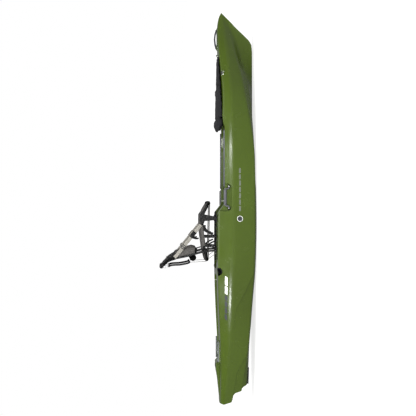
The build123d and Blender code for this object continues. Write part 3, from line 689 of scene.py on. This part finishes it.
softLight("overhead", (0.0, -1.7, 3.4), (0, -0.3, 0.3), 4.6, 1.0, 40)
softLight("cameraSide", (0.4, -6.0, 2.2), (0, 0, 0.3), 5.0, 1.6, 12)
softLight("creaseGlintBow", (1.62, -4.4, 0.95), (0.5, -0.4, 0.25), 2.0, 0.13, 125)
softLight("creaseGlintStern", (-2.35, -4.4, 0.95), (-0.85, -0.4, 0.25), 1.1, 0.13, 130)
skyLook = {"energy": 1.45, "softness": 50, "from": (0.10, -0.55, 1.0), "fall": 0.34, "seen": 1.0}
sunData = bpy.data.lights.new("sky", "SUN")
sunData.energy = skyLook["energy"]
sunData.angle = math.radians(skyLook["softness"])
sky = bpy.data.objects.new("sky", sunData)
bpy.context.scene.collection.objects.link(sky)
sky.rotation_euler = Vector(skyLook["from"]).to_track_quat("Z", "X").to_euler()
world = bpy.data.worlds.new("studio")
world.use_nodes = True
worldTree = world.node_tree
behind = worldTree.nodes["Background"]
behind.inputs["Color"].default_value = linear("#ffffff")
rays = worldTree.nodes.new("ShaderNodeLightPath")
brightness = addNode(worldTree, "ShaderNodeMapRange", Value=rays.outputs["Is Camera Ray"])
brightness.inputs["To Min"].default_value = skyLook["fall"]  # light that falls on the kayak
brightness.inputs["To Max"].default_value = skyLook["seen"]  # plain white surroundings
worldTree.links.new(brightness.outputs["Result"], behind.inputs["Strength"])
bpy.context.scene.world = world
print("camera, floor and light ready")


# Seat and back webbing
straps = {"sideWide": 0.032, "sideThick": 0.0026, "rearWide": 0.019, "pullWide": 0.024}
for side, word in ((1, "Port"), (-1, "Starboard")):
    high = Vector((-0.462, side * 0.2952, 0.758))
    low = Vector((-0.158, side * 0.2712, 0.514))
    route = []
    for share in (0, 0.2, 0.4, 0.6, 0.8, 1.0):
        slack = math.sin(math.pi * share)
        route.append(high + (low - high) * share + Vector((0, side * 0.0035 * slack, -0.003 * slack)))
    strap = ribbon("sideStrap" + word, route, straps["sideWide"], straps["sideThick"],
                   "greyWebbing", (0, side, 0), None)
    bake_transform(strap)
    if side > 0:
        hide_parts("side_straps")
    run = (low - high).normalized()
    centre = high + (low - high) * 0.33
    bpy.ops.object.select_all(action="DESELECT")
    bpy.ops.mesh.primitive_torus_add(location=(0, 0, 0), major_radius=0.0185, minor_radius=0.0034,
                                     major_segments=44, minor_segments=12)
    slider = bpy.context.active_object
    slider.name = "strapSlider" + word
    bar = bmesh.new()
    bar.from_mesh(slider.data)
    for shift in (-0.0035, 0.0035):
        made = bmesh.ops.create_cone(bar, cap_ends=True, segments=12, radius1=0.0022, radius2=0.0022,
                                     depth=0.036, matrix=Matrix.Rotation(math.radians(90), 4, "Y"))
        bmesh.ops.translate(bar, verts=made["verts"], vec=(0, shift, 0))
    bar.to_mesh(slider.data)
    bar.free()
    face = run.cross(Vector((0, side, 0))).normalized()
    facing = Matrix((face, run, face.cross(run))).transposed().to_4x4()
    facing.translation = centre + Vector((0, side * 0.0055, 0))
    slider.data.transform(facing)
    slider.data.materials.append(materials["greyPlastic"])
    bpy.ops.object.shade_smooth()
    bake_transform(slider)
    if side > 0:
        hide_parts("strap_sliders")
    patchRoute = [high + (low - high) * s + Vector((0, side * 0.006, 0))
                  for s in (0.62, 0.66, 0.7, 0.74, 0.78)]
    patch = ribbon("strapKeeper" + word, patchRoute, straps["sideWide"] + 0.006, 0.006,
                   "blackWebbing", (0, side, 0), None)
    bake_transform(patch)
    tailRoute = [(-0.276, side * 0.277, 0.590), (-0.283, side * 0.281, 0.572),
                 (-0.286, side * 0.282, 0.552), (-0.282, side * 0.281, 0.534)]
    tail = ribbon("strapTail" + word, tailRoute, 0.016, 0.002, "blackWebbing", (0, side, 0), "seat")
    rearRoute = [(-0.549, side * 0.196, 0.816), (-0.5365, side * 0.196, 0.784), (-0.531, side * 0.196, 0.705),
                 (-0.517, side * 0.196, 0.632), (-0.500, side * 0.196, 0.612)]
    rearStrap = ribbon("rearStrap" + word, rearRoute, straps["rearWide"], 0.0032, "blackWebbing",
                       (-0.55, side * 0.8, 0.2), "backrest", ripple=0.0006)
    pullRoute = [(-0.160, side * 0.271, 0.480), (-0.190, side * 0.271, 0.478), (-0.222, side * 0.271, 0.452),
                 (-0.234, side * 0.271, 0.428), (-0.241, side * 0.271, 0.400)]
    pull = ribbon("pullStrap" + word, pullRoute, straps["pullWide"], 0.0024,
                  "blackWebbing", (0, side, 0), "seat")
    tieRoute = [(-0.348, side * 0.268, 0.448), (-0.328, side * 0.268, 0.425), (-0.306, side * 0.268, 0.378)]
    tie = ribbon("tieStrap" + word, tieRoute, 0.014, 0.0022, "blackWebbing", (0, side, 0), "seat")
    if side > 0:
        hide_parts("rear_straps")
        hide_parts("pull_straps")
        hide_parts("tie_straps")
print("straps made")


# Bow cover, draped over the front well and held at its edges
hullMesh = bmesh.new()
hullMesh.from_mesh(nodes["hull"].data)
hullTree = BVHTree.FromBMesh(hullMesh)


# Height of the hull under a point, from above.
def hullTop(x, y):
    found = hullTree.ray_cast(Vector((x, y, 1.0)), Vector((0, 0, -1)))
    return found[0].z if found[0] else None


# Half-breadth of the hull's outer side at a height, from starboard or port.
def hullSide(x, z, side):
    found = hullTree.ray_cast(Vector((x, side * 1.0, z)), Vector((0, -side, 0)))
    return found[0].y if found[0] else None


cover = {"rear": 0.845, "front": 1.418, "crownRear": 0.366, "crownFront": 0.350,
         "thick": 0.0026, "wrinkle": 0.0042}
coverHalf = [(0.842, 0.300), (0.874, 0.297), (1.0, 0.279), (1.1, 0.256), (1.2, 0.2265),
             (1.3, 0.191), (1.41, 0.1485), (1.43, 0.140)]


def coverSurface(u, v):
    w = u * 2 - 1
    x = cover["rear"] + (cover["front"] - cover["rear"]) * v
    half = along(coverHalf, x) + 0.002
    y = w * half
    crown = cover["crownRear"] + (cover["crownFront"] - cover["crownRear"]) * v
    edge = along([(0.842, 0.318), (1.0, 0.326), (1.2, 0.337), (1.42, 0.346)], x)
    z = edge + (crown - edge) * (1 - abs(w) ** 2.6)
    strapDip = 0.0055 * math.exp(-((x - 1.150) / 0.018) ** 2) * (1 - 0.3 * abs(w))
    folds = noise.noise(Vector((x * 9, y * 22, 1.3))) + 0.6 * noise.noise(Vector((x * 24, y * 40, 5.1)))
    pulls = math.sin((x - 0.85) * 95 + 3 * noise.noise(Vector((x * 6, y * 3, 8)))) * abs(w) ** 3 * 0.0026
    z += cover["wrinkle"] * folds * (0.35 + 0.65 * (1 - abs(w) ** 3)) + pulls - strapDip
    if v > 0.94:
        z -= (v - 0.94) / 0.06 * 0.004
    return Vector((x, y, z))


coverRows, coverColumns = 130, 120
verts, uvs, faces = [], [], []
for j in range(coverRows + 1):
    for i in range(coverColumns + 1):
        point = coverSurface(i / coverColumns, j / coverRows)
        below = hullTop(point.x, point.y)
        if below is not None and point.z < below + 0.003:
            point.z = below + 0.003
        verts.append(point)
        uvs.append((point.y, point.x))
for j in range(coverRows):
    for i in range(coverColumns):
        a = j * (coverColumns + 1) + i
        faces.append((a, a + coverColumns + 1, a + coverColumns + 2, a + 1))
bowCover = meshObject("bowCoverCloth", verts, faces, "coverFabric", uvs)
bpy.ops.object.select_all(action="DESELECT")
bowCover.select_set(True)
bpy.context.view_layer.objects.active = bowCover
smoothing = bowCover.modifiers.new("ease", "SMOOTH")
smoothing.factor = 0.4
smoothing.iterations = 2
bpy.ops.object.modifier_apply(modifier="ease")
coverWall = bowCover.modifiers.new("thickness", "SOLIDIFY")
coverWall.thickness = cover["thick"]
coverWall.offset = 1.0
bpy.ops.object.modifier_apply(modifier="thickness")
recalcNormals(bowCover)
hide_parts("bow_cover")
areaCells = 60
for i in range(areaCells):
    for j in range(areaCells):
        corner = coverSurface(i / areaCells, j / areaCells)
        wide = (corner - coverSurface((i + 1) / areaCells, j / areaCells)).length
        deep = (corner - coverSurface(i / areaCells, (j + 1) / areaCells)).length


# A point on the cover's top face, lifted by a little.
def onCover(x, w, lift=0.004):
    v = (x - cover["rear"]) / (cover["front"] - cover["rear"])
    point = coverSurface((w + 1) / 2, min(max(v, 0), 1))
    below = hullTop(point.x, point.y)
    if below is not None:
        point.z = max(point.z, below + 0.003)
    return point + Vector((0, 0, lift))


for side, word in ((1, "Port"), (-1, "Starboard")):
    hem = [onCover(x, side * 0.985, 0.002) for x in np.linspace(0.85, 1.412, 34)]
    tubeAlong("coverHem" + word, hem, 0.0042, "blackWebbing", "hull", 10)
    seam = [onCover(x, side * 0.93, 0.003) for x in np.linspace(0.86, 1.405, 60)]
    stitches("coverStitch" + word, seam, (0, 0, 1), "blackWebbing", "hull", radius=0.0007)
frontHem = [onCover(1.414, w, 0.002) for w in np.linspace(-0.98, 0.98, 24)]
tubeAlong("coverHemFront", frontHem, 0.0042, "blackWebbing", "hull", 10)
strapRoute = [onCover(1.150, w, 0.0045) for w in np.linspace(-0.985, 0.985, 34)]
coverStrap = ribbon("coverStrap", strapRoute, 0.025, 0.0022, "blackWebbing", (0, 0, 1), "hull")
print("bow cover made")


# The gathered end of the cover, rolled and tied behind the front well
roll = {"rear": 0.728, "front": 0.858, "low": 0.309, "high": 0.379, "half": 0.294}


def rollPoint(turn, share):
    w = share * 2 - 1
    y = w * roll["half"]
    ends = 1 - abs(w) ** 7 * 0.55
    pinch = 1 - 0.30 * math.exp(-((abs(w) - 0.42) / 0.045) ** 2) - 0.22 * math.exp(-(w / 0.05) ** 2)
    angle = turn * 2 * math.pi
    cx = (roll["rear"] + roll["front"]) / 2
    cz = (roll["low"] + roll["high"]) / 2 - 0.012 * abs(w) ** 2
    a = (roll["front"] - roll["rear"]) / 2 * ends
    b = (roll["high"] - roll["low"]) / 2 * ends * pinch
    drift = 4 * noise.noise(Vector((y * 7, 0, 3)))
    deep = 0.5 + abs(noise.noise(Vector((y * 14, angle, 1))))
    fold = 1 + 0.13 * math.sin(angle * 5 + drift) * deep
    fold += 0.10 * noise.noise(Vector((math.cos(angle) * 2.2, math.sin(angle) * 2.2, y * 26)))
    fold = min(fold, 1.12)
    x = cx + a * math.cos(angle) * fold * 0.92
    z = cz + b * math.sin(angle) * fold * 0.92
    x = min(max(x, roll["rear"]), roll["front"])
    return Vector((x, y, min(max(z, roll["low"] - 0.012), roll["high"])))


rollTurns, rollRows = 96, 190
verts, faces, uvs = [], [], []
for j in range(rollRows + 1):
    for i in range(rollTurns):
        point = rollPoint(i / rollTurns, j / rollRows)
        below = hullTop(point.x, point.y)
        if below is not None and point.z < below + 0.003:
            point.z = below + 0.003
        verts.append(point)
        uvs.append((i / rollTurns * 0.34, point.y))
for j in range(rollRows):
    for i in range(rollTurns):
        k = (i + 1) % rollTurns
        faces.append((j * rollTurns + i, j * rollTurns + k, (j + 1) * rollTurns + k, (j + 1) * rollTurns + i))
lastRow = rollRows * rollTurns
faces += [tuple(range(rollTurns))[::-1], tuple(range(lastRow, lastRow + rollTurns))]
coverRoll = meshObject("coverRollCloth", verts, faces, "coverFabric", uvs)
recalcNormals(coverRoll)
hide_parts("cover_roll")
for k, w in enumerate((-0.42, 0.0, 0.42)):
    loop = [rollPoint(t, (w + 1) / 2) for t in np.linspace(0, 0.5, 22)]
    loop = [p + Vector((0, 0, 0.0035)) for p in loop]
    tie = ribbon(f"rollTie{k}", loop, 0.020, 0.0022, "blackWebbing", (0, 0, 1), "hull")
print("cover roll made")


# Plain side graphics, laid on the hull's outer side
def sideDecal(name, side, outline, material, lift, rows=40, columns=60):
    xs = [p[0] for p in outline]
    zs = [p[1] for p in outline]
    lowX, highX, lowZ, highZ = min(xs), max(xs), min(zs), max(zs)
    form = bmesh.new()
    loop = [form.verts.new((x, 0, z)) for x, z in outline]
    form.faces.new(loop)
    cuts = [(lowX + (highX - lowX) * k / columns, 0) for k in range(1, columns)]
    cuts += [(lowZ + (highZ - lowZ) * k / rows, 1) for k in range(1, rows)]
    for place, which in cuts:
        normal = (1, 0, 0) if which == 0 else (0, 0, 1)
        everything = form.verts[:] + form.edges[:] + form.faces[:]
        bmesh.ops.bisect_plane(form, geom=everything, plane_co=Vector(normal) * place, plane_no=normal)
    for vert in form.verts:
        y = hullSide(vert.co.x, vert.co.z, side)
        vert.co.y = (y if y is not None else side * 0.4) + side * lift
    bmesh.ops.triangulate(form, faces=form.faces)
    bmesh.ops.recalc_face_normals(form, faces=form.faces)
    mesh = bpy.data.meshes.new(name)
    form.to_mesh(mesh)
    form.free()
    mesh.materials.append(materials[material])
    decal = bpy.data.objects.new(name, mesh)
    bpy.context.scene.collection.objects.link(decal)
    bpy.ops.object.select_all(action="DESELECT")
    decal.select_set(True)
    bpy.context.view_layer.objects.active = decal
    if mesh.polygons and sum(p.normal.y for p in mesh.polygons) * side < 0:
        mesh.flip_normals()
    wall = decal.modifiers.new("film", "SOLIDIFY")
    wall.thickness = 0.0004
    wall.offset = 1.0
    bpy.ops.object.modifier_apply(modifier="film")
    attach(decal, "hull")
    return decal


graphics = {"barLow": 0.273, "barHigh": 0.297, "slant": 0.016, "discX": -0.100, "discZ": 0.160,
            "discR": 0.027, "core": 0.84, "film": 0.0005, "coreFilm": 0.0009}
bars = [(-1.040, -0.990, "decalDark"), (-0.980, -0.930, "decalDark"), (-0.920, -0.870, "decalDark"),
        (-0.860, -0.815, "decalDark"), (-0.800, -0.730, "decalPale"), (-0.720, -0.640, "decalPale")]
dash = {"count": 7, "first": -0.030, "pitch": 0.058, "long": 0.046, "slant": 0.002,
        "rows": ((0.153, 0.157), (0.163, 0.167))}


# Points round the disc, at a share of its radius.
def discOutline(share):
    radius = graphics["discR"] * share
    turns = np.linspace(0, 2 * math.pi, 48, endpoint=False)
    centreX, centreZ = graphics["discX"], graphics["discZ"]
    return [(centreX + radius * math.cos(t), centreZ + radius * math.sin(t)) for t in turns]


# Four corners of a bar that leans forward by slant.
def slantedBar(start, end, low, high, slant):
    return [(start, low), (end, low), (end + slant, high), (start + slant, high)]


film = graphics["film"]
for side, word in ((1, "Port"), (-1, "Starboard")):
    for k, (start, end, finish) in enumerate(bars):
        outline = slantedBar(start, end, graphics["barLow"], graphics["barHigh"], graphics["slant"])
        sideDecal(f"bar{word}{k}", side, outline, finish, film, 6, 30)
    sideDecal("disc" + word, side, discOutline(1), "decalPale", film, 12, 12)
    core = discOutline(graphics["core"])
    sideDecal("discCore" + word, side, core, "decalDark", graphics["coreFilm"], 12, 12)
    for k in range(dash["count"]):
        begin = dash["first"] + k * dash["pitch"]
        for low, high in dash["rows"]:
            outline = slantedBar(begin, begin + dash["long"], low, high, dash["slant"])
            sideDecal(f"dash{word}{k}Z{int(low * 1000)}", side, outline, "decalGrey", film, 2, 6)
print("side graphics made")
